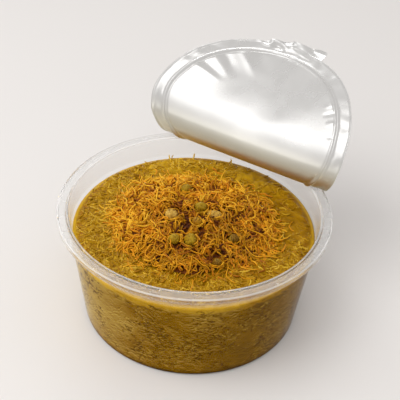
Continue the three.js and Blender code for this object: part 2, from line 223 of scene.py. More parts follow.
def to_object(name, points, faces, material, attributes=None):
    """A mesh object from points in millimetres. attributes: name -> one number a point."""
    mesh = bpy.data.meshes.new(name)
    mesh.from_pydata((np.asarray(points, float) * MM).tolist(), [], faces)
    mesh.validate()
    for key, values in (attributes or {}).items():
        layer = mesh.attributes.new(key, "FLOAT", "POINT")
        layer.data.foreach_set("value", np.asarray(values, np.float32).ravel())
    mesh.polygons.foreach_set("use_smooth", [True] * len(mesh.polygons))
    mesh.materials.append(material)
    piece = bpy.data.objects.new(name, mesh)
    bpy.context.scene.collection.objects.link(piece)
    return piece


def add_to_frame(piece, slot, *nodes):
    """Puts a dressed piece in the place of its nodes."""
    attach(piece, "root")
    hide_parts(*nodes)


def grid_faces(rows, columns, wrap):
    """Quads over rows x columns points, joined round if wrap is true."""
    last = columns if wrap else columns - 1
    row = np.arange(rows - 1)[:, None] * columns
    here = np.arange(last)[None, :]
    there = (here + 1) % columns
    quads = np.stack([row + here, row + there, row + columns + there, row + columns + here], -1)
    return quads.reshape(-1, 4).tolist()


def polar(radius, angle, height):
    """Points at a radius and an angle about Z, and a height."""
    parts = radius * np.cos(angle), radius * np.sin(angle), height
    return np.stack(np.broadcast_arrays(*parts), -1)


def lathe(profile, segments):
    """Points and faces of a profile of (radius, height) turned about Z."""
    profile = np.asarray(profile, float)
    angle = np.arange(segments) / segments * TURN
    points = polar(profile[:, :1], angle, profile[:, 1:])
    return points.reshape(-1, 3), grid_faces(len(profile), segments, True)


def arc(centre, radius, start, end, steps):
    """Points of an arc, its angles in degrees."""
    angles = np.radians(np.linspace(start, end, steps + 1))
    return [(centre[0] + radius * math.cos(a), centre[1] + radius * math.sin(a)) for a in angles]


def tubes(paths, radii, sides):
    """Points and faces of round strands. paths is strands x steps x 3, radii strands x steps."""
    strands, steps, _ = paths.shape
    tangent = np.gradient(paths, axis=1)
    tangent /= np.linalg.norm(tangent, axis=2, keepdims=True) + 1e-9
    side = np.cross(tangent, np.array([0.03, 0.02, 1.0]))
    side /= np.linalg.norm(side, axis=2, keepdims=True) + 1e-9
    over = np.cross(side, tangent)
    angle = np.arange(sides) / sides * TURN
    ring = side[:, :, None] * np.cos(angle)[:, None] + over[:, :, None] * np.sin(angle)[:, None]
    points = paths[:, :, None] + ring * radii[:, :, None, None]
    one = np.array(grid_faces(steps, sides, True))
    size = steps * sides
    start = np.arange(strands) * size
    quads = (one[None] + start[:, None, None]).reshape(-1, 4).tolist()
    first = (np.arange(sides)[::-1][None] + start[:, None]).tolist()
    last = (np.arange(size - sides, size)[None] + start[:, None]).tolist()
    return points.reshape(-1, 3), quads + first + last


def add_strands(name, paths, radii, look, tint, slot, node, sides=STRAND_SIDES):
    """One piece of many round strands, each with its own tint."""
    points, faces = tubes(paths, radii, sides)
    attributes = {"tint": np.repeat(tint, paths.shape[1] * sides)}
    add_to_frame(to_object(name, points, faces, look, attributes), slot, node)


def wall_radius(z):
    """Radius of the pot's outer wall."""
    return WALL_BASE_RADIUS + (WALL_TOP_RADIUS - WALL_BASE_RADIUS) * z / RIM_HEIGHT


# ---- materials


class Shade:
    """A material's node tree with short calls for its nodes."""

    def __init__(self, name):
        self.material = bpy.data.materials.new(name)
        self.material.use_nodes = True
        self.tree = self.material.node_tree
        self.bsdf = self.tree.nodes["Principled BSDF"]

    def node(self, kind, inputs=None, **settings):
        made = self.tree.nodes.new(kind)
        for key, value in settings.items():
            setattr(made, key, value)
        for key, value in (inputs or {}).items():
            self.feed(made.inputs[key], value)
        return made

    def feed(self, socket, value):
        if isinstance(value, bpy.types.NodeSocket):
            self.tree.links.new(value, socket)
        else:
            socket.default_value = value

    def set(self, **values):
        for key, value in values.items():
            self.feed(self.bsdf.inputs[key.replace("_", " ")], value)

    def attribute(self, name):
        return self.node("ShaderNodeAttribute", attribute_name=name).outputs["Fac"]

    def noise(self, scale, detail=3.0, vector=None):
        inputs = {"Scale": scale, "Detail": detail}
        inputs["Vector"] = vector or self.node("ShaderNodeTexCoord").outputs["Object"]
        return self.node("ShaderNodeTexNoise", inputs).outputs["Fac"]

    def windings(self, scale, drop=0.0):
        """1 on thin winding lines, flatter than they are wide, 0 between them. drop lowers them."""
        place = self.node("ShaderNodeTexCoord").outputs["Object"]
        inputs = {"Vector": place, "Location": (0, 0, 1.3 * drop * MM), "Scale": (1, 1, 1.3)}
        vector = self.node("ShaderNodeMapping", inputs).outputs["Vector"]
        around = self.maths("SUBTRACT", self.noise(scale, 2.0, vector), 0.5)
        return self.span(self.maths("ABSOLUTE", around, 0.0), 0.0, 0.06, 1.0, 0.0)

    def ramp(self, value, tones, middle=0.5):
        """The dark tone at 0, the second one at middle and the light one at 1."""
        made = self.node("ShaderNodeValToRGB", {"Fac": value})
        elements = made.color_ramp.elements
        elements.new(0.5)
        for element, position, colour in zip(elements, (0.0, middle, 1.0), tones):
            element.position = position
            element.color = (*colour, 1.0)
        return made.outputs["Color"]

    def mix(self, share, first, second):
        made = self.node("ShaderNodeMix", data_type="RGBA")
        self.feed(made.inputs["Factor"], share)
        for index, value in ((6, first), (7, second)):
            value = value if isinstance(value, bpy.types.NodeSocket) else (*value, 1.0)
            self.feed(made.inputs[index], value)
        return made.outputs[2]

    def maths(self, operation, first, second):
        made = self.node("ShaderNodeMath", operation=operation)
        self.feed(made.inputs[0], first)
        self.feed(made.inputs[1], second)
        return made.outputs[0]

    def span(self, value, low, high, to_low=0.0, to_high=1.0):
        inputs = {"From Min": low, "From Max": high, "To Min": to_low, "To Max": to_high}
        made = self.node("ShaderNodeMapRange", inputs)
        self.feed(made.inputs["Value"], value)
        return made.outputs[0]

    def bump(self, height, distance, strength):
        inputs = {"Height": height, "Distance": distance * MM, "Strength": strength}
        self.feed(self.bsdf.inputs["Normal"], self.node("ShaderNodeBump", inputs).outputs[0])


def clear_plastic(name, ior, transmission, roughness, white=0.97):
    """Clear, slightly milky polypropylene. Lamps shine through it without a hard shadow."""
    shade = Shade(name)
    shade.set(
        Base_Color=(white, white, white * 0.995, 1),
        IOR=ior,
        Transmission_Weight=transmission,
        Roughness=shade.span(shade.noise(90.0), 0.3, 0.7, roughness, 2 * roughness),
    )
    output = shade.tree.nodes["Material Output"]
    path = shade.node("ShaderNodeLightPath")
    through = shade.node("ShaderNodeBsdfTransparent", {"Color": THROUGH_PLASTIC})
    mixed = shade.node("ShaderNodeMixShader", {"Fac": path.outputs["Is Shadow Ray"]})
    shade.feed(mixed.inputs[1], shade.bsdf.outputs[0])
    shade.feed(mixed.inputs[2], through.outputs[0])
    shade.feed(output.inputs["Surface"], mixed.outputs[0])
    return shade.material


def pudding_look(name, gloss):
    """Mustard pudding, its noodles lighter than the milk between them, browner down its sides."""
    shade = Shade(name)
    upper = shade.attribute("upper")
    blotch = shade.span(shade.noise(45.0, 4.0), 0.3, 0.7, -0.1, 0.1)
    tone = shade.maths("ADD", shade.attribute("tone"), blotch)
    fine = shade.span(shade.noise(600.0, 3.0), 0.35, 0.65, -0.08, 0.08)
    top = shade.ramp(shade.maths("ADD", tone, fine), TOP_TONES, 0.45)
    # Light noodle lines, each with a dark line next to it: a painted shadow of the noodle.
    noodle_lines_and_painted_shadows = shade.maths("SUBTRACT", shade.windings(330.0, 0.45), shade.windings(330.0))
    clusters = shade.span(shade.noise(120.0, 2.0), 0.4, 0.6, 0.12, 0.37)
    pattern = shade.maths("MULTIPLY", noodle_lines_and_painted_shadows, clusters)
    side = shade.ramp(shade.maths("ADD", tone, pattern), SIDE_TONES, 0.42)
    spots = shade.span(shade.noise(260.0), 0.3, 0.6)
    top = shade.mix(shade.maths("MULTIPLY", shade.attribute("rust"), spots), top, RUST)
    shade.set(
        Base_Color=shade.mix(upper, side, top),
        Roughness=shade.span(shade.noise(180.0), 0.3, 0.7, 0.26, 0.48),
        Specular_IOR_Level=gloss,
    )
    shade.bump(shade.noise(500.0, 2.0), 0.08, 0.5)
    return shade.material


def noodle_look(name, tones, gloss):
    """Soft milk-boiled noodles, each with its own shade."""
    shade = Shade(name)
    colour = shade.ramp(shade.attribute("tint"), tones)
    shade.set(Base_Color=colour, Roughness=0.22, Specular_IOR_Level=gloss)
    shade.bump(shade.noise(900.0), 0.05, 0.5)
    return shade.material


def strand_look(name, tones, roughness):
    """Fried vermicelli: each strand has its own shade, mottled along its length."""
    shade = Shade(name)
    mottle = shade.span(shade.noise(420.0, 3.0), 0.3, 0.7, -0.22, 0.22)
    colour = shade.ramp(shade.maths("ADD", shade.attribute("tint"), mottle), tones)
    shade.set(Base_Color=colour, Roughness=roughness, Specular_IOR_Level=0.2)
    shade.bump(shade.noise(1500.0), 0.05, 0.6)
    return shade.material


def topping_look(name, shadow, skin, bloom):
    """A nut's wrinkled skin, darker in its dents."""
    shade = Shade(name)
    colour = shade.mix(shade.span(shade.noise(330.0, 4.0), 0.35, 0.7), skin, bloom)
    colour = shade.mix(shade.span(shade.attribute("relief"), -1.0, 0.1), shadow, colour)
    shade.set(Base_Color=colour, Roughness=0.4, Specular_IOR_Level=0.2)
    shade.bump(shade.noise(1400.0, 4.0), 0.1, 0.8)
    return shade.material


def foil_look():
    """Satin sealing foil, duller in its bend, where a brown reflection of the pudding is
    painted on.
    """
    shade = Shade("foil")
    cloud = shade.noise(120.0, 3.0)
    bend_dulling_and_painted_reflection = shade.attribute("bend_dulling_and_painted_reflection")
    sheet = shade.mix(cloud, *FOIL_TONES)
    dull = shade.maths("MULTIPLY", bend_dulling_and_painted_reflection, 0.2)
    shade.set(
        Base_Color=shade.mix(shade.maths("MULTIPLY", bend_dulling_and_painted_reflection, 0.6), sheet, FOIL_BEND_PAINTED_REFLECTION),
        Metallic=1.0,
        Roughness=shade.maths("ADD", dull, shade.span(cloud, 0.3, 0.7, 0.25, 0.31)),
    )
    shade.bump(shade.noise(300.0, 2.0), 0.004, 0.2)
    return shade.material


# ---- the pot


def make_pot():
    """The thin wall, its rounded base corner, the flange and its turned-down lip."""
    under = RIM_HEIGHT - FLANGE_THICKNESS
    lip_inner = FLANGE_RADIUS - LIP_THICKNESS
    lip_bottom = RIM_HEIGHT - LIP_DROP
    corner = wall_radius(BASE_CORNER) - BASE_CORNER
    inside = corner - WALL
    mouth = WALL_TOP_RADIUS - WALL
    profile = [(0.0, 0.0), (BASE_FLAT_RADIUS, 0.0)]
    profile += arc((corner, BASE_CORNER), BASE_CORNER, -90, -5, 8)
    profile += [(wall_radius(z), z) for z in np.linspace(WALL_FROM, under - 1.0, 14)]
    profile += arc((wall_radius(under) + UNDER_ROUND, under - UNDER_ROUND), UNDER_ROUND, 180, 90, 5)
    profile += [(lip_inner - 0.4, under)]
    profile += arc((lip_inner - LIP_ROUND, under - LIP_ROUND), LIP_ROUND, 90, 0, 3)
    profile += arc((lip_inner + LIP_THICKNESS / 2, lip_bottom + LIP_ROUND), 0.35, 185, 355, 6)
    outer = (FLANGE_RADIUS - FLANGE_ROUND, RIM_HEIGHT - FLANGE_ROUND)
    profile += arc(outer, FLANGE_ROUND, 5, 90, 6)
    profile += [(r, RIM_HEIGHT - FLANGE_DIP) for r in (FLANGE_RADIUS - 1.6, WALL_TOP_RADIUS)]
    profile += arc((mouth + MOUTH_ROUND, RIM_HEIGHT - MOUTH_ROUND), MOUTH_ROUND, 90, 180, 6)
    profile += [(wall_radius(z) - WALL, z) for z in np.linspace(under - 1.0, WALL_FROM, 14)]
    profile += arc((inside, BASE_THICKNESS + BASE_CORNER), BASE_CORNER, -5, -90, 8)
    profile += [(BASE_FLAT_RADIUS, BASE_THICKNESS), (0.0, BASE_THICKNESS)]
    points, faces = lathe(profile, POT_SEGMENTS)
    wall, *others = (
        clear_plastic("clear_plastic_wall", ior=1.11, transmission=1.0, roughness=0.01),
        clear_plastic("clear_plastic_rim", ior=1.22, transmission=0.93, roughness=0.05),
        # The edges' plastic is milkier so that they show bright lines: partly their own gloss,
        # partly painted highlight.
        clear_plastic("clear_plastic_painted_highlight_edge", ior=1.26, transmission=0.62, roughness=0.08),
        clear_plastic(
            "clear_plastic_flange", ior=1.2, transmission=0.91, roughness=0.16, white=0.88
        ),
    )
    pot = to_object("pot_wall", points, faces, wall)
    weld(pot)
    for plastic in others:
        pot.data.materials.append(plastic)
    for face in pot.data.polygons:
        face.material_index = plastic_at(face.center.xy.length / MM, face.center.z / MM)
    add_to_frame(pot, "clear_plastic", "cup")


def plastic_at(radius, height):
    """Which plastic a place has: 0 the wall on the pudding and the lip's side, 1 the lip's foot and
    the bare wall above the pudding, 2 the upper edges, milkier for a painted highlight line, 3 the
    milky flange."""
    to_inner_edge = abs(radius - (WALL_TOP_RADIUS - WALL + 0.3))
    if height > RIM_HEIGHT - 0.5 and (to_inner_edge < 0.35 or radius > PAINTED_HIGHLIGHT_EDGE_RADIUS):
        return 2
    if radius > FLANGE_RADIUS - LIP_THICKNESS - 0.1 and height < RIM_HEIGHT - 0.6:
        return int(height < RIM_HEIGHT - LIP_DROP + 0.3)
    if radius > WALL_TOP_RADIUS + 0.3 and height > RIM_HEIGHT - 1.2:
        return 3
    return int(height > FILL_LEVEL + 2)


def weld(piece, distance=0.002):
    """Joins points that lie on each other and drops faces of no area."""
    mesh = bmesh.new()
    mesh.from_mesh(piece.data)
    bmesh.ops.remove_doubles(mesh, verts=mesh.verts, dist=distance * MM)
    bmesh.ops.dissolve_degenerate(mesh, edges=mesh.edges, dist=1e-7)
    bmesh.ops.recalc_face_normals(mesh, faces=mesh.faces)
    mesh.to_mesh(piece.data)
    mesh.free()


# ---- the pudding


def short_noodles(rng, count, lengths, spread, steps=8, curl=0.4):
    """Flat curved paths of short noodles about the origin: count x steps x 2."""
    length = rng.uniform(*lengths, (count, 1))
    heading = rng.uniform(0, TURN, (count, 1))
    bend = rng.normal(0, spread, (count, 1))
    share = np.linspace(-0.5, 0.5, steps)[None]
    angle = heading + bend * share + curl * np.sin(TURN * (share + rng.uniform(0, 1, (count, 1))))
    step = length / (steps - 1)
    path = np.cumsum(np.stack([np.cos(angle), np.sin(angle)], -1) * step[..., None], 1)
    return path - path.mean(1, keepdims=True)


def stamp(raster, at, height, radius, cell):
    """Raises the raster to round-topped noodles through the points at, each with its height."""
    reach = int(math.ceil(radius / cell))
    index = np.round(at / cell).astype(int)
    for du in range(-reach, reach + 1):
        for dv in range(-reach, reach + 1):
            away = (du * du + dv * dv) * cell * cell
            if away > radius * radius:
                continue
            top = height + math.sqrt(radius * radius - away)
            u = np.clip(index[..., 0] + du, 0, raster.shape[0] - 1)
            v = np.clip(index[..., 1] + dv, 0, raster.shape[1] - 1)
            np.maximum.at(raster, (u, v), top)


class PuddingTop:
    """Height and tone of the pudding's surface: soft lumps with short noodles half sunk in them."""

    CELL = 0.2
    HALF = 43.0

    def __init__(self):
        rng = np.random.default_rng(21)
        size = int(2 * self.HALF / self.CELL) + 1
        self.lumps = np.full((size, size), -0.1)
        path, depth = self.scatter(rng, 1700, (2.0, 6.0), (-0.75, -0.15))
        stamp(self.lumps, path + self.HALF, depth, 0.85, self.CELL)
        self.lumps = soften(self.lumps, 3)
        self.relief = np.full((size, size), -1.0)
        path, depth = self.scatter(rng, 9000, (1.6, 4.6), (-0.55, -0.05))
        stamp(self.relief, path + self.HALF, depth, 0.36, self.CELL)
        self.tint = np.zeros((size, size))
        shade = np.repeat(rng.uniform(0.1, 1, (len(path), 1)), path.shape[1], 1)
        index = np.round((path + self.HALF) / self.CELL).astype(int).clip(1, size - 2)
        for du, dv in ((0, 0), (1, 0), (0, 1), (-1, 0), (0, -1)):
            self.tint[index[..., 0] + du, index[..., 1] + dv] = shade

    @staticmethod
    def scatter(rng, count, lengths, depths):
        """Flat noodle paths all over the surface and how deep each lies."""
        path = rng.uniform(-41, 41, (count, 1, 2)) + short_noodles(rng, count, lengths, 1.2)
        path = np.concatenate([path, (path[:, 1:] + path[:, :-1]) / 2], 1)
        return path, np.repeat(rng.uniform(*depths, (count, 1)), path.shape[1], 1)

    def at(self, raster, x, y):
        """The raster's value at places x, y, blended between its cells."""
        u = np.clip((x + self.HALF) / self.CELL, 0, raster.shape[0] - 1.001)
        v = np.clip((y + self.HALF) / self.CELL, 0, raster.shape[1] - 1.001)
        i, j = u.astype(int), v.astype(int)
        return bilinear(raster, i, j, u - i, v - j)

    def relief_at(self, x, y):
        relief = np.maximum(self.at(self.relief, x, y), -0.35)
        return relief * (0.4 + 0.6 * busy_side(x, y))

    def height(self, x, y):
        radius = np.hypot(x, y)
        edge = wall_radius(FILL_LEVEL) - WALL
        inside = np.clip((radius - edge + EDGE_WIDTH) / EDGE_WIDTH, 0, 1)
        calm = 1 - smoothstep(radius, edge - 3.2, edge - 1.6)
        swell = 0.25 * smooth_noise(x, y, 5.0, 3) + 0.15 * smooth_noise(x, y, 2.4, 4)
        noodles = self.at(self.lumps, x, y) + 0.6 * self.relief_at(x, y)
        rough = swell * (0.3 + 0.7 * calm) + calm * noodles
        return FILL_LEVEL - EDGE_DROP * inside**2 + rough

    def tone(self, x, y):
        radius = np.hypot(x, y)
        painted = self.at(self.tint, x, y) * busy_side(x, y)
        near_wall = smoothstep(radius, 40.6, 41.5)
        lumps = self.at(self.lumps, x, y)
        # Painted shade: lighter where lumps and noodles stand higher and darker in the hollows, on
        # top of the noodles' own paler colour.
        mottle = 0.35 * lumps + 0.3 * self.relief_at(x, y) + 0.3 * painted
        # Painted shade: a darker ring where the surface turns down to the wall.
        edge_painted_shade = 0.18 * np.exp(-(((radius - EDGE_PAINTED_SHADE_RADIUS) / 0.9) ** 2))
        # Painted light: the surface is lighter towards the back.
        behind = 0.28 * smoothstep(y, 5, 34)
        return np.clip(0.3 + behind + mottle * (1 - near_wall) + 0.6 * near_wall - edge_painted_shade, 0, 1)

    def rust(self, x, y):
        """Orange-brown spots in a line just inside the wall."""
        radius, azimuth = np.hypot(x, y), np.arctan2(y, x)
        spots = smoothstep(smooth_noise(azimuth * SIDE_RADIUS, radius, 1.8, 33), 0.0, 0.5)
        left = smoothstep(-x, 20, 38)
        line = np.exp(-(((radius - RUST_LINE_RADIUS) / 0.8) ** 2))
        return line * np.maximum(0.6 * spots, 0.7 * left)


def soften(raster, times):
    """The raster with its steps rounded off, by averaging each cell with its neighbours."""
    for _ in range(times):
        for axis in (0, 1):
            raster = (np.roll(raster, 1, axis) + raster + np.roll(raster, -1, axis)) / 3
    return raster


def busy_side(x, y):
    """1 where many loose noodles show, to the front left, and least opposite."""
    return 0.58 + 0.42 * np.cos(np.arctan2(y, x) - SURFACE_BUSY)


def side_tone(along, z):
    """Tone of the pudding against the wall, with soft patches, a dark foot of painted shade and a
    light band at its upper edge. Painted light makes it lighter to the left, and painted shade a
    little darker to the right."""
    cloud = 0.12 * smooth_noise(along, z, 9.0, 5) + 0.07 * smooth_noise(along, z * 1.6, 2.6, 6)
    towards_painted_light = np.cos(along / SIDE_RADIUS - SIDE_PAINTED_LIGHT)
    # Painted light: lighter towards the lamp's side, a little darker away from it.
    left = 0.55 * np.clip(towards_painted_light, 0, 1) ** 3 - 0.1 * np.clip(-towards_painted_light, 0, 1)
    tone = 0.42 + cloud + left + 0.25 * upper_band(along, z)
    # Painted shade: darker at the foot, next to the floor.
    return np.clip(tone * smoothstep(z, -0.2, 4.0), 0, 1)


def upper_band(along, z):
    """1 in the yellow band at the top of the pudding's side, with an uneven lower edge."""
    ragged = 0.7 * smooth_noise(along, z, 4.0, 61) + 0.3 * smooth_noise(along, z, 1.5, 62)
    return smoothstep(z + ragged, BAND_BOTTOM, BAND_BOTTOM + 1.3)


def pudding_radius(z):
    """Radius of the pudding's side, which reaches just into the wall above its foot."""
    return wall_radius(z) - FOOT_SKIN - (WALL - INTO_WALL - FOOT_SKIN) * smoothstep(z, 1.6, 5)


def make_pudding(top):
    """One closed body that fills the pot up to its level and reaches just into the wall."""
    segments = PUDDING_SEGMENTS
    edge_top = FILL_LEVEL - EDGE_DROP
    corner = BASE_CORNER - FOOT_SKIN
    foot = wall_radius(BASE_CORNER) - BASE_CORNER
    side = [(foot * 0.5, FOOT_SKIN)] + arc((foot, BASE_CORNER), corner, -90, -8, 6)
    side += [(pudding_radius(z), z) for z in np.linspace(BASE_CORNER + 0.3, edge_top, SIDE_ROWS)]
    edge = pudding_radius(edge_top)
    radii = edge - np.concatenate([np.arange(1, 46) * 0.4, 18.5 + np.arange(1, 6) * 4.3])
    angle = np.arange(segments) / segments * TURN
    side = np.array(side)
    side_points = polar(side[:, :1], angle, side[:, 1:])
    x, y = radii[:, None] * np.cos(angle), radii[:, None] * np.sin(angle)
    top_points = np.stack([x, y, top.height(x, y)], -1)
    points = np.concatenate([side_points, top_points]).reshape(-1, 3)
    rows = len(side) + len(radii)
    faces = grid_faces(rows, segments, True)
    faces.append(list(range(segments))[::-1])
    faces.append(list(range((rows - 1) * segments, rows * segments)))
    along = np.repeat((angle * SIDE_RADIUS)[None], len(side), 0)
    heights = np.repeat(side[:, 1:], segments, 1)
    tones = np.concatenate([side_tone(along, heights), top.tone(x, y)])
    upper = np.concatenate([0.85 * upper_band(along, heights), np.ones_like(x)])
    rust = np.concatenate([np.zeros_like(heights), top.rust(x, y)])
    attributes = {"tone": tones.ravel(), "upper": upper.ravel(), "rust": rust.ravel()}
    in_wall = pudding_look("pudding_in_wall", 0.0)
    body = to_object("pudding_body", points, faces, in_wall, attributes)
    body.data.materials.append(pudding_look("pudding_open", 0.08))
    first_open = (len(side) - 1) * segments
    for face in body.data.polygons:
        underside = face.index == (rows - 1) * segments
        face.material_index = int(face.index >= first_open and not underside)
    add_to_frame(body, *PUDDING)


def make_side_noodles():
    """Short noodles pressed against the clear wall, in clusters with calm milk between them."""
    rng = np.random.default_rng(51)
    steps, sides = 6, 4
    along = rng.uniform(0, TURN * SIDE_RADIUS, SIDE_NOODLES)
    middle = np.stack([along, rng.uniform(1.8, 33.4, SIDE_NOODLES)], -1)
    crowd = smooth_noise(*middle.T, 5.5, 52) + 0.5 * smooth_noise(*middle.T, 2.4, 53)
    calm_right = 0.25 * np.clip(-np.cos(middle[:, 0] / SIDE_RADIUS - SIDE_PAINTED_LIGHT), 0, 1)
    keep = crowd + rng.uniform(-0.6, 0.6, SIDE_NOODLES) > 0.2 + calm_right
    middle = middle[keep]
    shapes = short_noodles(rng, len(middle), SIDE_NOODLE_LENGTHS, 2.4, steps, 1.0)
    flat = middle[:, None] + shapes * (1.0, 0.75)
    thick = rng.uniform(*SIDE_NOODLE_GIRTH, (len(flat), 1)) * np.ones((1, steps))
    thick[:, [0, -1]] *= 0.6
    z = np.clip(flat[..., 1], 1.5, FILL_LEVEL - EDGE_DROP - 0.3)
    paths = polar(pudding_radius(z) - 0.1 * thick, flat[..., 0] / SIDE_RADIUS, z)
    # Painted shade: the darker noodles stand for the shaded gaps between noodles; the lighter ones
    # are partly painted highlight.
    dark = rng.uniform(0, 1, len(flat)) < 0.6
    tint = np.where(dark, rng.uniform(0, 0.3, len(flat)), rng.uniform(0.7, 1, len(flat)))
    look = noodle_look("noodles_in_wall", SIDE_NOODLE_TONES, 0.0)
    add_strands("side_noodles", paths, thick, look, tint, *PUDDING, sides)


def make_surface_noodles(top):
    """Loose wet noodles that lie on the pudding round the nest, some with an end lifted."""
    rng = np.random.default_rng(31)
    count, steps = SURFACE_NOODLES, 6
    radius = np.sqrt(rng.uniform(25.0**2, 40.6**2, count))
    centre = polar(radius, rng.uniform(0, TURN, count), 0)[:, None, :2]
    flat = centre + short_noodles(rng, count, SURFACE_NOODLE_LENGTHS, 1.5, steps)
    busy = 0.1 + 0.8 * busy_side(*centre[:, 0].T) + 0.35 * smooth_noise(*centre[:, 0].T, 6.0, 32)
    keep = np.hypot(flat[..., 0], flat[..., 1]).max(1) < 41.2
    keep &= rng.uniform(0, 1, count) < busy
    flat = flat[keep]
    thick = rng.uniform(*SURFACE_NOODLE_GIRTH, (len(flat), 1)) * np.ones((1, steps))
    thick[:, [0, -1]] *= 0.6
    share = np.linspace(0, 1, steps)[None]
    behind = smoothstep(flat[:, :1, 1], 31, 37)
    raised = rng.uniform(0, 1, (len(flat), 1)) < 0.1 + 0.08 * behind
    lift = np.where(raised, rng.uniform(0.4, 1.5, (len(flat), 1)) * (1 + 0.5 * behind), 0)
    ride = rng.uniform(-0.2, 0.2, (len(flat), 1)) + lift * share**2
    z = top.height(flat[..., 0], flat[..., 1])
    z = 0.5 * z + 0.5 * z.mean(1, keepdims=True) + ride
    paths = np.concatenate([flat, z[..., None]], -1)
    # Painted light: noodles towards the back are lighter, as the surface there is.
    tint = np.clip(rng.beta(1.6, 2.0, len(flat)) + 0.3 * behind[:, 0], 0, 1)
    look = noodle_look("wet_noodles", SURFACE_NOODLE_TONES, 0.22)
    add_strands("surface_noodles", paths, thick, look, tint, *PUDDING)


# ---- the nest and its toppings


def core_height(x, y):
    """Top of the nest's bare core, a low dome with an uneven outline."""
    azimuth = np.arctan2(y, x)
    edge = NEST_RADIUS + 0.9 * np.sin(3 * azimuth + 0.6) + 0.7 * np.sin(7 * azimuth)
    share = np.minimum(1, np.hypot(x, y) / edge)
    lumps = 0.35 * np.sin(0.55 * x + 1.2) * np.cos(0.6 * y)
    rise = NEST_RISE * (1 - share**2) ** 0.8
    return FILL_LEVEL + GAP + NEST_EDGE_HEIGHT * (share < 1) + rise + lumps * (1 - share)


def ball_of(node):
    """Centre and half sizes of a round topping, from its node."""
    low, high = (np.array(corner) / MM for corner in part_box(node))
    return (low + high) / 2, (high - low) / 2


def make_core(look):
    """The inside of the nest under its strands, dark as painted shade for its depths."""
    segments, rings = 150, 46
    angle = np.arange(segments) / segments * TURN
    share = np.linspace(1, 0.02, rings)[:, None]
    edge = (NEST_RADIUS - 1.2) + 0.9 * np.sin(3 * angle + 0.6) + 0.7 * np.sin(7 * angle)
    x, y = share * edge * np.cos(angle), share * edge * np.sin(angle)
    lumps = 0.5 * smooth_noise(x, y, 1.6, 8) + 0.3 * smooth_noise(x, y, 0.8, 9)
    z = core_height(x, y) - 0.8 + lumps * np.clip((1 - share) * 5, 0, 1)
    top_points = np.stack([x, y, np.maximum(z, FILL_LEVEL + 0.1)], -1).reshape(-1, 3)
    points = np.concatenate([top_points[:segments] * (0.97, 0.97, 1) - (0, 0, 1.0), top_points])
    faces = grid_faces(rings + 1, segments, True)
    faces.append(list(range(segments))[::-1])
    faces.append(list(range(rings * segments, (rings + 1) * segments)))
    tint = np.concatenate([np.zeros(segments), (0.3 + 0.3 * lumps).ravel()])
    core = to_object("nest_core", points, faces, look, {"tint": tint})
    add_to_frame(core, *NEST)


def keep_off(paths, thick):
    """True for the strands that don't run through a round topping. Some lean on one."""
    clear = np.ones(len(paths), bool)
    for node in TOPPINGS:
        centre, half = ball_of(node)
        away = (paths - centre) / (half * 0.94 + thick.max())
        clear &= (np.linalg.norm(away, axis=2) > 1).all(1)
    return clear


def around_toppings(x, y):
    """1 beside a round topping, falling to 0 within a few millimetres."""
    near = np.zeros_like(x)
    for node in TOPPINGS:
        centre, half = ball_of(node)
        away = np.hypot(x - centre[0], y - centre[1]) / half[0]
        near = np.maximum(near, np.exp(-(((away - 1) / 0.6) ** 2)))
    return near


def strand_shapes(rng, count, lengths, wander, steps):
    """Wandering paths about the origin, nearly level, as fried vermicelli sets."""
    length = rng.uniform(*lengths, (count, 1))
    turn = rng.normal(0, wander, (count, steps)) + rng.normal(0, 0.16, (count, 1))
    heading = rng.uniform(0, TURN, (count, 1)) + np.cumsum(turn, 1)
    pitch = np.cumsum(rng.normal(0, 0.15, (count, steps)), 1)
    pitch -= pitch.mean(1, keepdims=True)
    level = np.cos(pitch)
    step = np.stack([level * np.cos(heading), level * np.sin(heading), np.sin(pitch)], -1)
    path = np.cumsum(step * (length / (steps - 1))[..., None], 1)
    return path - path.mean(1, keepdims=True)


def make_strands(name, top, look, seed, count, lengths, layers, girth, tints, reach, fringe):
    """One kind of fried strand, scattered over the nest between two layers above its core. A
    share of them, the fringe, lies further out than the reach."""
    rng = np.random.default_rng(seed)
    steps = 10
    azimuth = rng.uniform(0, TURN, count)
    radius = reach * np.sqrt(rng.uniform(0, 1, count)) * (1 + 0.05 * np.sin(2 * azimuth + 2.2))
    radius += np.where(rng.uniform(0, 1, count) < fringe, rng.exponential(2.2, count), 0)
    path = strand_shapes(rng, count, lengths, 0.36, steps)
    x = path[..., 0] + (radius * np.cos(azimuth))[:, None]
    y = path[..., 1] + (radius * np.sin(azimuth))[:, None]
    away = np.hypot(x - NEST_DARK[0], y - NEST_DARK[1])
    openness = smooth_noise(x, y, 2.6, 77) - 0.22 + 0.44 * np.exp(-((away / 13) ** 2))
    openness = openness + 0.2 * around_toppings(x, y)
    upper = layers[1] > 0.3
    depth = NEST_OPEN * np.clip(openness, 0, 1) * upper
    layer = rng.uniform(*layers, (count, 1)) * (1 - 0.5 * (radius[:, None] / reach) ** 4)
    share = np.linspace(0, 1, steps)[None]
    raised = rng.uniform(0, 1, (count, 1)) < 0.12
    layer = layer + np.where(raised, rng.uniform(0.8, 2.6, (count, 1)), 0) * share**2
    z = core_height(x, y) + layer + path[..., 2] - depth
    thick = rng.uniform(*girth, (count, 1)) * np.ones((1, steps))
    thick *= rng.uniform(0.78, 1.2, thick.shape)
    thick[:, [0, -1]] *= 0.7
    paths = np.stack([x, y, np.maximum(z, top.height(x, y) + 0.1)], -1)
    clear = keep_off(paths, thick)
    paths, thick = paths[clear], thick[clear]
    x, y = paths[:, steps // 2, 0], paths[:, steps // 2, 1]
    from_dark = np.hypot(x - NEST_DARK[0], y - NEST_DARK[1])
    warm = 0.2 * smooth_noise(x, y, 9.0, 78) + 0.012 * y - 0.006 * x
    warm = warm - 0.3 * np.exp(-((from_dark / 12) ** 2))
    tint = np.clip(rng.uniform(*tints, len(paths)) + warm, 0, 1)
    add_strands(name, paths, thick, look, tint, *NEST)


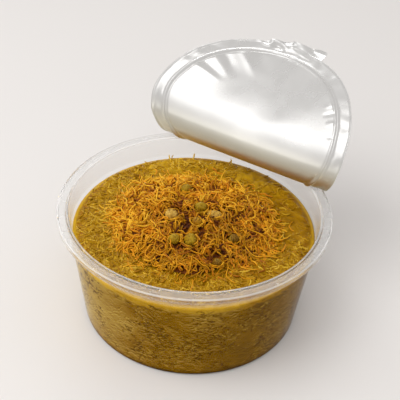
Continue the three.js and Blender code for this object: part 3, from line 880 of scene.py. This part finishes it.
def make_stray_strands(top, look):
    """A few long strands that stick out over the pudding at the front right."""
    rng = np.random.default_rng(44)
    count, steps = 5, 14
    azimuth = (STRAY_AZIMUTH + STRAY_SPACING * np.arange(count))[:, None]
    azimuth = azimuth + 0.1 * np.sin(np.linspace(0, 5, steps) + rng.uniform(0, TURN, (count, 1)))
    radius = np.linspace(*STRAY_REACH, steps)[None] - 1.2 * np.arange(count)[:, None] % 2.0
    x, y = radius * np.cos(azimuth), radius * np.sin(azimuth)
    z = np.maximum(core_height(x, y) + 0.4, top.height(x, y) + 0.5)
    z = z + 0.5 * np.sin(np.linspace(0, 7, steps) + rng.uniform(0, TURN, (count, 1))) ** 2
    thick = np.full((count, steps), 0.24)
    paths = np.stack([x, y, z], -1)
    add_strands("strands_stray", paths, thick, look, np.full(count, 0.6), *NEST)


def make_collars(look):
    """Strands that hug the lower half of each round topping."""
    rng = np.random.default_rng(45)
    steps, each = 9, 9
    paths = []
    for node in TOPPINGS:
        centre, half = ball_of(node)
        start, span = rng.uniform(0, TURN, (each, 1)), rng.uniform(0.9, 2.4, (each, 1))
        share = np.linspace(-0.5, 0.5, steps)[None]
        angle = start + span * share
        flare = 1 + 0.6 * np.abs(share) ** 1.5 + rng.uniform(0.1, 0.3, (each, 1))
        level = rng.uniform(-0.5, 0.35, (each, 1)) + rng.uniform(-0.8, 0.8, (each, 1)) * share
        x = centre[0] + half[0] * flare * np.cos(angle)
        y = centre[1] + half[1] * flare * np.sin(angle)
        paths.append(np.stack([x, y, centre[2] + half[2] * level], -1))
    paths = np.concatenate(paths)
    thick = rng.uniform(0.18, 0.26, (len(paths), 1)) * np.ones((1, steps))
    paths = paths[keep_off(paths, thick)]
    thick = thick[: len(paths)]
    add_strands("strands_collar", paths, thick, look, rng.uniform(0.2, 0.9, len(paths)), *NEST)


def make_topping(node, look, seed):
    """One round topping with a wrinkled skin."""
    centre, half = ball_of(node)
    mesh = bmesh.new()
    bmesh.ops.create_icosphere(mesh, subdivisions=5, radius=1.0)
    unit = np.array([v.co[:] for v in mesh.verts])
    faces = [[v.index for v in face.verts] for face in mesh.faces]
    mesh.free()
    turn = np.array(Matrix.Rotation(seed * 1.7, 3, "Z") @ Matrix.Rotation(seed * 0.9, 3, "X"))
    skin = unit @ turn.T
    meridian = np.arctan2(skin[:, 1], skin[:, 0])
    ribs = np.sin(11 * meridian + 2.5 * smooth_noise(skin[:, 2] * 6, meridian * 3, 1.3, seed))
    dents = smooth_noise(skin[:, 0] * 5 + seed, skin[:, 1] * 5 + skin[:, 2] * 3, 1.4, seed + 50)
    relief = 0.55 * ribs * np.sqrt(np.clip(1 - skin[:, 2] ** 2, 0, 1)) + 0.6 * dents
    shape = unit * half * (1 + 0.045 * relief - 0.03)[:, None]
    ball = to_object(f"{node}_skin", shape + centre, faces, look, {"relief": relief})
    add_to_frame(ball, "topping", node)


def make_nest(top):
    """The nest's core, dark strands deep in it, and orange and golden ones over them."""
    # Painted shade: the core and the deep strands are dark for the nest's depths.
    deep = strand_look("strand_deep", DEEP_PAINTED_SHADE_TONES, 0.5)
    orange = strand_look("strand_orange", ORANGE_TONES, 0.4)
    golden = strand_look("strand_golden", GOLDEN_TONES, 0.36)
    make_core(deep)
    make_strands(
        "strands_deep", top, deep, seed=41, count=750, lengths=(4, 9), layers=(-0.8, 0.0),
        girth=(0.24, 0.34), tints=(0.2, 1.0), reach=25.0, fringe=0.0,
    )
    make_strands(
        "strands_orange", top, orange, seed=42, count=1080, lengths=(4, 10), layers=(-0.3, 1.0),
        girth=(0.22, 0.33), tints=(0.1, 1.0), reach=27.0, fringe=0.2,
    )
    make_strands(
        "strands_golden", top, golden, seed=43, count=1120, lengths=(3.5, 10), layers=(0.2, 1.7),
        girth=(0.19, 0.31), tints=(0.0, 1.0), reach=28.6, fringe=0.4,
    )
    make_stray_strands(top, golden)
    make_collars(golden)


def make_toppings():
    looks = {kind: topping_look(f"topping_{kind}", *tones) for kind, tones in TOPPING_TONES.items()}
    for seed, (node, kind) in enumerate(zip(TOPPINGS, TOPPING_KINDS), 1):
        make_topping(node, looks[kind], seed)


# ---- the foil lid


def flap_radius(angle):
    """Radius of the flap's outline, with its pull tab."""
    rise = smoothstep(angle, TAB_START - 3 * TAB_SHOULDER, TAB_START)
    fall = 1 - smoothstep(angle, TAB_END, TAB_END + TAB_SHOULDER)
    reach = TAB_REACH[0] + (TAB_REACH[1] - TAB_REACH[0]) * smoothstep(angle, TAB_START, TAB_END)
    return FLAP_RADIUS + reach * rise * fall


def sheet_edge(along, side):
    """Where the sheet's edge lies across the lid, on its left (-1) or right (+1) side."""
    low, high = np.zeros_like(along), np.full_like(along, math.pi)
    for _ in range(34):
        angle = (low + high) / 2
        reached = FLAP_CENTRE_ALONG + flap_radius(side * angle) * np.cos(angle)
        low = np.where(reached > along, angle, low)
        high = np.where(reached > along, high, angle)
    flap = side * FLAP_CENTRE_ACROSS + flap_radius(side * low) * np.sin(low)
    rim = np.sqrt(np.maximum(0, LID_RADIUS**2 - (along - PEEL_OFFSET) ** 2))
    return side * blend_low(flap, rim)


def blend_low(first, second, width=1.2):
    """The smaller of two numbers, with the corner between them rounded."""
    share = np.clip(0.5 + 0.5 * (second - first) / (2 * width), 0, 1)
    return second * (1 - share) + first * share - 2 * width * share * (1 - share)


def lid_relief(along, across):
    """How far the foil stands off its smooth bend, towards its silver side: the pressed ring,
    the folds that run in from it, the crumpled tab and a soft unevenness."""
    from_end, from_middle = along - FLAP_CENTRE_ALONG, across - FLAP_CENTRE_ACROSS
    angle = np.arctan2(from_middle, from_end)
    to_centre = np.hypot(from_end, from_middle)
    to_rim_edge = LID_RADIUS - np.hypot(along - PEEL_OFFSET, across)
    inset = blend_low(FLAP_RADIUS - to_centre, to_rim_edge, 2.0)
    past_ring = inset - RING_INSET
    ring = RING_HEIGHT * np.exp(-((past_ring / RING_WIDTH) ** 2))
    ring -= GROOVE_DEPTH * np.exp(-(((past_ring - GROOVE_INSET) / GROOVE_WIDTH) ** 2))
    ring -= BORDER_TILT * np.maximum(0, -past_ring)
    ring += EDGE_CURL * (1 - smoothstep(inset, 0.1, 0.9))
    free = smoothstep(along, 6, 16)
    folds = np.zeros_like(along)
    for at, slant, depth, width, reach in LID_FOLDS:
        line = math.radians(at) + math.radians(slant) * past_ring
        sideways = (angle - line) * to_centre / width
        inward = smoothstep(past_ring, 0.3, 2.0) * (1 - smoothstep(past_ring, reach * 0.4, reach))
        folds += depth * np.exp(-(sideways**2)) * inward
    tab = smoothstep(angle, TAB_START - 0.2, TAB_START)
    tab *= 1 - smoothstep(angle, TAB_END, TAB_END + 0.1)
    tab *= 1 - smoothstep(inset, 0.5, 3.6)
    crumple = 0.9 - 2.2 * np.abs(smooth_noise(from_end * 0.9 + across * 0.3, across * 0.6, 4.0, 12))
    border = 1 - smoothstep(inset, RING_INSET - 1.5, RING_INSET - 0.5)
    uneven = 0.2 * smooth_noise(along, across, 12.0, 14)
    uneven += 0.02 * smooth_noise(along, across, 5.0, 15)
    edge = 0.12 * smooth_noise(along, across, 2.6, 16) * border
    bow = FLAP_BOW * (1 - ((along - 32) / 24) ** 2) * smoothstep(along, 4, 14)
    shoulder = SHOULDER_DROP * np.exp(-(((along - 12) / 6) ** 2))
    swell = FOLD_SWELL * np.exp(-(((along - 3.4) / 3) ** 2)) * smoothstep(along, -1, 2)
    shape = bow + swell - shoulder + free * (uneven + folds + edge)
    return shape + tab * crumple + ring * smoothstep(along, -2, 1)


def sheet_points(along, across, offset):
    """Points of the bent sheet, offset from its middle towards its silver side."""
    turned = np.clip(along / BEND_RADIUS, 0, BEND_ANGLE)
    past = np.maximum(0, along - BEND_RADIUS * BEND_ANGLE)
    on_flange = np.minimum(0, along)
    flap_end = FLAP_CENTRE_ALONG + FLAP_RADIUS
    hollow = np.clip((along - BEND_RADIUS) / (flap_end - BEND_RADIUS), 0, 1)
    rise = FLAP_TROUGH * (across - FLAP_CENTRE_ACROSS) ** 2 * hollow + offset
    inward = on_flange + (BEND_RADIUS + rise) * np.sin(turned) + past * np.cos(turned)
    up = BEND_RADIUS * (1 - np.cos(turned)) + past * np.sin(turned) - rise * np.cos(turned)
    outwards = PEEL_OFFSET - inward
    c, s = math.cos(PEEL_AZIMUTH), math.sin(PEEL_AZIMUTH)
    height = RIM_HEIGHT + GAP + LID_CAD_THICKNESS / 2 + up
    return np.stack([outwards * c + across * s, outwards * s - across * c, height], -1)


def make_lid():
    """A thin closed sheet: its silver face, its outer face and the edge between them."""
    first = PEEL_OFFSET - LID_RADIUS + 0.05
    around = np.linspace(TAB_START, TAB_END, 300)
    last = FLAP_CENTRE_ALONG + (flap_radius(around) * np.cos(around)).max() - 0.03
    tip_from = FLAP_CENTRE_ALONG + FLAP_RADIUS - LID_TIP
    behind = first * np.cos(np.linspace(0, math.pi / 2, LID_ROWS_BEHIND, endpoint=False))
    flap = np.linspace(0, tip_from, LID_ROWS_IN_FLAP, endpoint=False)
    to_tip = np.cos(np.linspace(0, math.pi / 2, LID_ROWS_AT_TIP))
    along = np.concatenate([behind, flap, last - (last - tip_from) * to_tip**2])
    left, right = sheet_edge(along, -1), sheet_edge(along, 1)
    columns = LID_COLUMNS
    even = np.linspace(0, 1, columns)
    share = 0.35 * (1 - np.cos(math.pi * even)) / 2 + 0.65 * even
    across = left[:, None] + (right - left)[:, None] * share
    place = np.repeat(along[:, None], columns, 1)
    relief = lid_relief(place, across)
    silver = sheet_points(place, across, relief + LID_SHEET / 2)
    outer = sheet_points(place, across, relief - LID_SHEET / 2)
    rows = len(along)
    count = rows * columns
    points = np.concatenate([silver.reshape(-1, 3), outer.reshape(-1, 3)])
    front = np.array(grid_faces(rows, columns, False))
    rim = list(range(columns)) + [r * columns + columns - 1 for r in range(1, rows)]
    rim += [count - 1 - i for i in range(1, columns)]
    rim += [r * columns for r in range(rows - 2, 0, -1)]
    rim = np.array(rim)
    following = np.roll(rim, -1)
    edge = np.stack([rim, rim + count, following + count, following], -1)
    faces = front[:, ::-1].tolist() + (front + count).tolist() + edge.tolist()
    # Where the bend is: it dulls the foil and carries its painted reflection of the pudding.
    bend_dulling_and_painted_reflection = smoothstep(place, -1, 3) * (1 - smoothstep(place, 7, 19))
    bend_dulling_and_painted_reflection = np.concatenate([bend_dulling_and_painted_reflection.ravel(), bend_dulling_and_painted_reflection.ravel()])
    lid = to_object("lid_sheet", points, faces, foil_look(), {"bend_dulling_and_painted_reflection": bend_dulling_and_painted_reflection})
    weld(lid, 0.0005)
    add_to_frame(lid, "foil", "foil_lid")


# ---- camera, floor and light


def make_camera():
    """The photograph's camera, as fitted."""
    data = bpy.data.cameras.new("camera")
    data.sensor_width = 36.0
    data.lens = FOCAL_PIXELS / FRAME_PIXELS * data.sensor_width
    data.clip_start, data.clip_end = 0.01, 20.0
    camera = bpy.data.objects.new("camera", data)
    bpy.context.scene.collection.objects.link(camera)
    back = Vector((0, -math.cos(CAMERA_ELEVATION), math.sin(CAMERA_ELEVATION)))
    right = Vector((1, 0, 0))
    up = back.cross(right)
    rolled_right = right * math.cos(CAMERA_ROLL) + up * math.sin(CAMERA_ROLL)
    rolled_up = up * math.cos(CAMERA_ROLL) - right * math.sin(CAMERA_ROLL)
    turn = Matrix((rolled_right, rolled_up, back)).transposed().to_4x4()
    place = Matrix.Translation((Vector(CAMERA_AIM) + back * CAMERA_DISTANCE) * MM)
    camera.matrix_world = place @ turn
    bpy.context.scene.camera = camera


def make_floor():
    """A plain pale floor."""
    shade = Shade("floor")
    colour = shade.mix(shade.noise(3.0), *FLOOR_TONES)
    shade.set(Base_Color=colour, Roughness=0.75, Specular_IOR_Level=0.2)
    half = 1500
    corners = [(-half, -half, 0), (half, -half, 0), (half, half, 0), (-half, half, 0)]
    floor = to_object("floor", corners, [(0, 1, 2, 3)], shade.material)


def area_light(name, azimuth, elevation, distance, size, power, colour, roll=0.0):
    """A soft lamp that faces the pot. Azimuth 0 is behind it (+Y) and 90 is to its right (+X)."""
    data = bpy.data.lights.new(name, "AREA")
    data.shape = "RECTANGLE"
    data.size, data.size_y = size
    data.energy = power
    data.color = colour
    light = bpy.data.objects.new(name, data)
    turn, rise = math.radians(azimuth), math.radians(elevation)
    away = Vector((math.sin(turn), math.cos(turn), 0)) * math.cos(rise)
    away.z = math.sin(rise)
    light.location = away * distance + Vector((0, 0, RIM_HEIGHT * MM))
    light.rotation_euler = (-away).to_track_quat("-Z", "Y").to_euler()
    light.rotation_euler.rotate_axis("Z", math.radians(roll))
    bpy.context.scene.collection.objects.link(light)
    return light


def make_light():
    """Two soft lamps that don't show in the pot or the foil, two cards that the flap reflects as
    its white area, and a low strip behind for the glints along the edges."""
    world = bpy.data.worlds.new("world")
    bpy.context.scene.world = world
    world.use_nodes = True
    background = world.node_tree.nodes["Background"]
    background.inputs["Color"].default_value = SKY
    background.inputs["Strength"].default_value = 0.575
    for lamp in (
        area_light("key", -110, 50, distance=0.9, size=(0.65, 0.65), power=3.3, colour=LAMP),
        area_light("fill", -172, 45, distance=1.1, size=(0.8, 0.8), power=2.6, colour=LAMP),
    ):
        lamp.visible_glossy = False
    area_light("card", -108, 58, 1.0, size=(0.62, 0.5), power=0.72, colour=CARD, roll=-22)
    area_light("high_card", -114, 73, 1.0, size=(0.28, 0.3), power=0.19, colour=CARD)
    area_light("glint", -12, 38, 2.0, size=(1.2, 0.14), power=3.8, colour=(1.0, 1.0, 1.0))
    bpy.context.scene.view_settings.view_transform = "Standard"


make_camera()
make_floor()
make_light()
make_pot()
pudding_top = PuddingTop()
make_pudding(pudding_top)
make_side_noodles()
make_surface_noodles(pudding_top)
make_nest(pudding_top)
make_toppings()
make_lid()
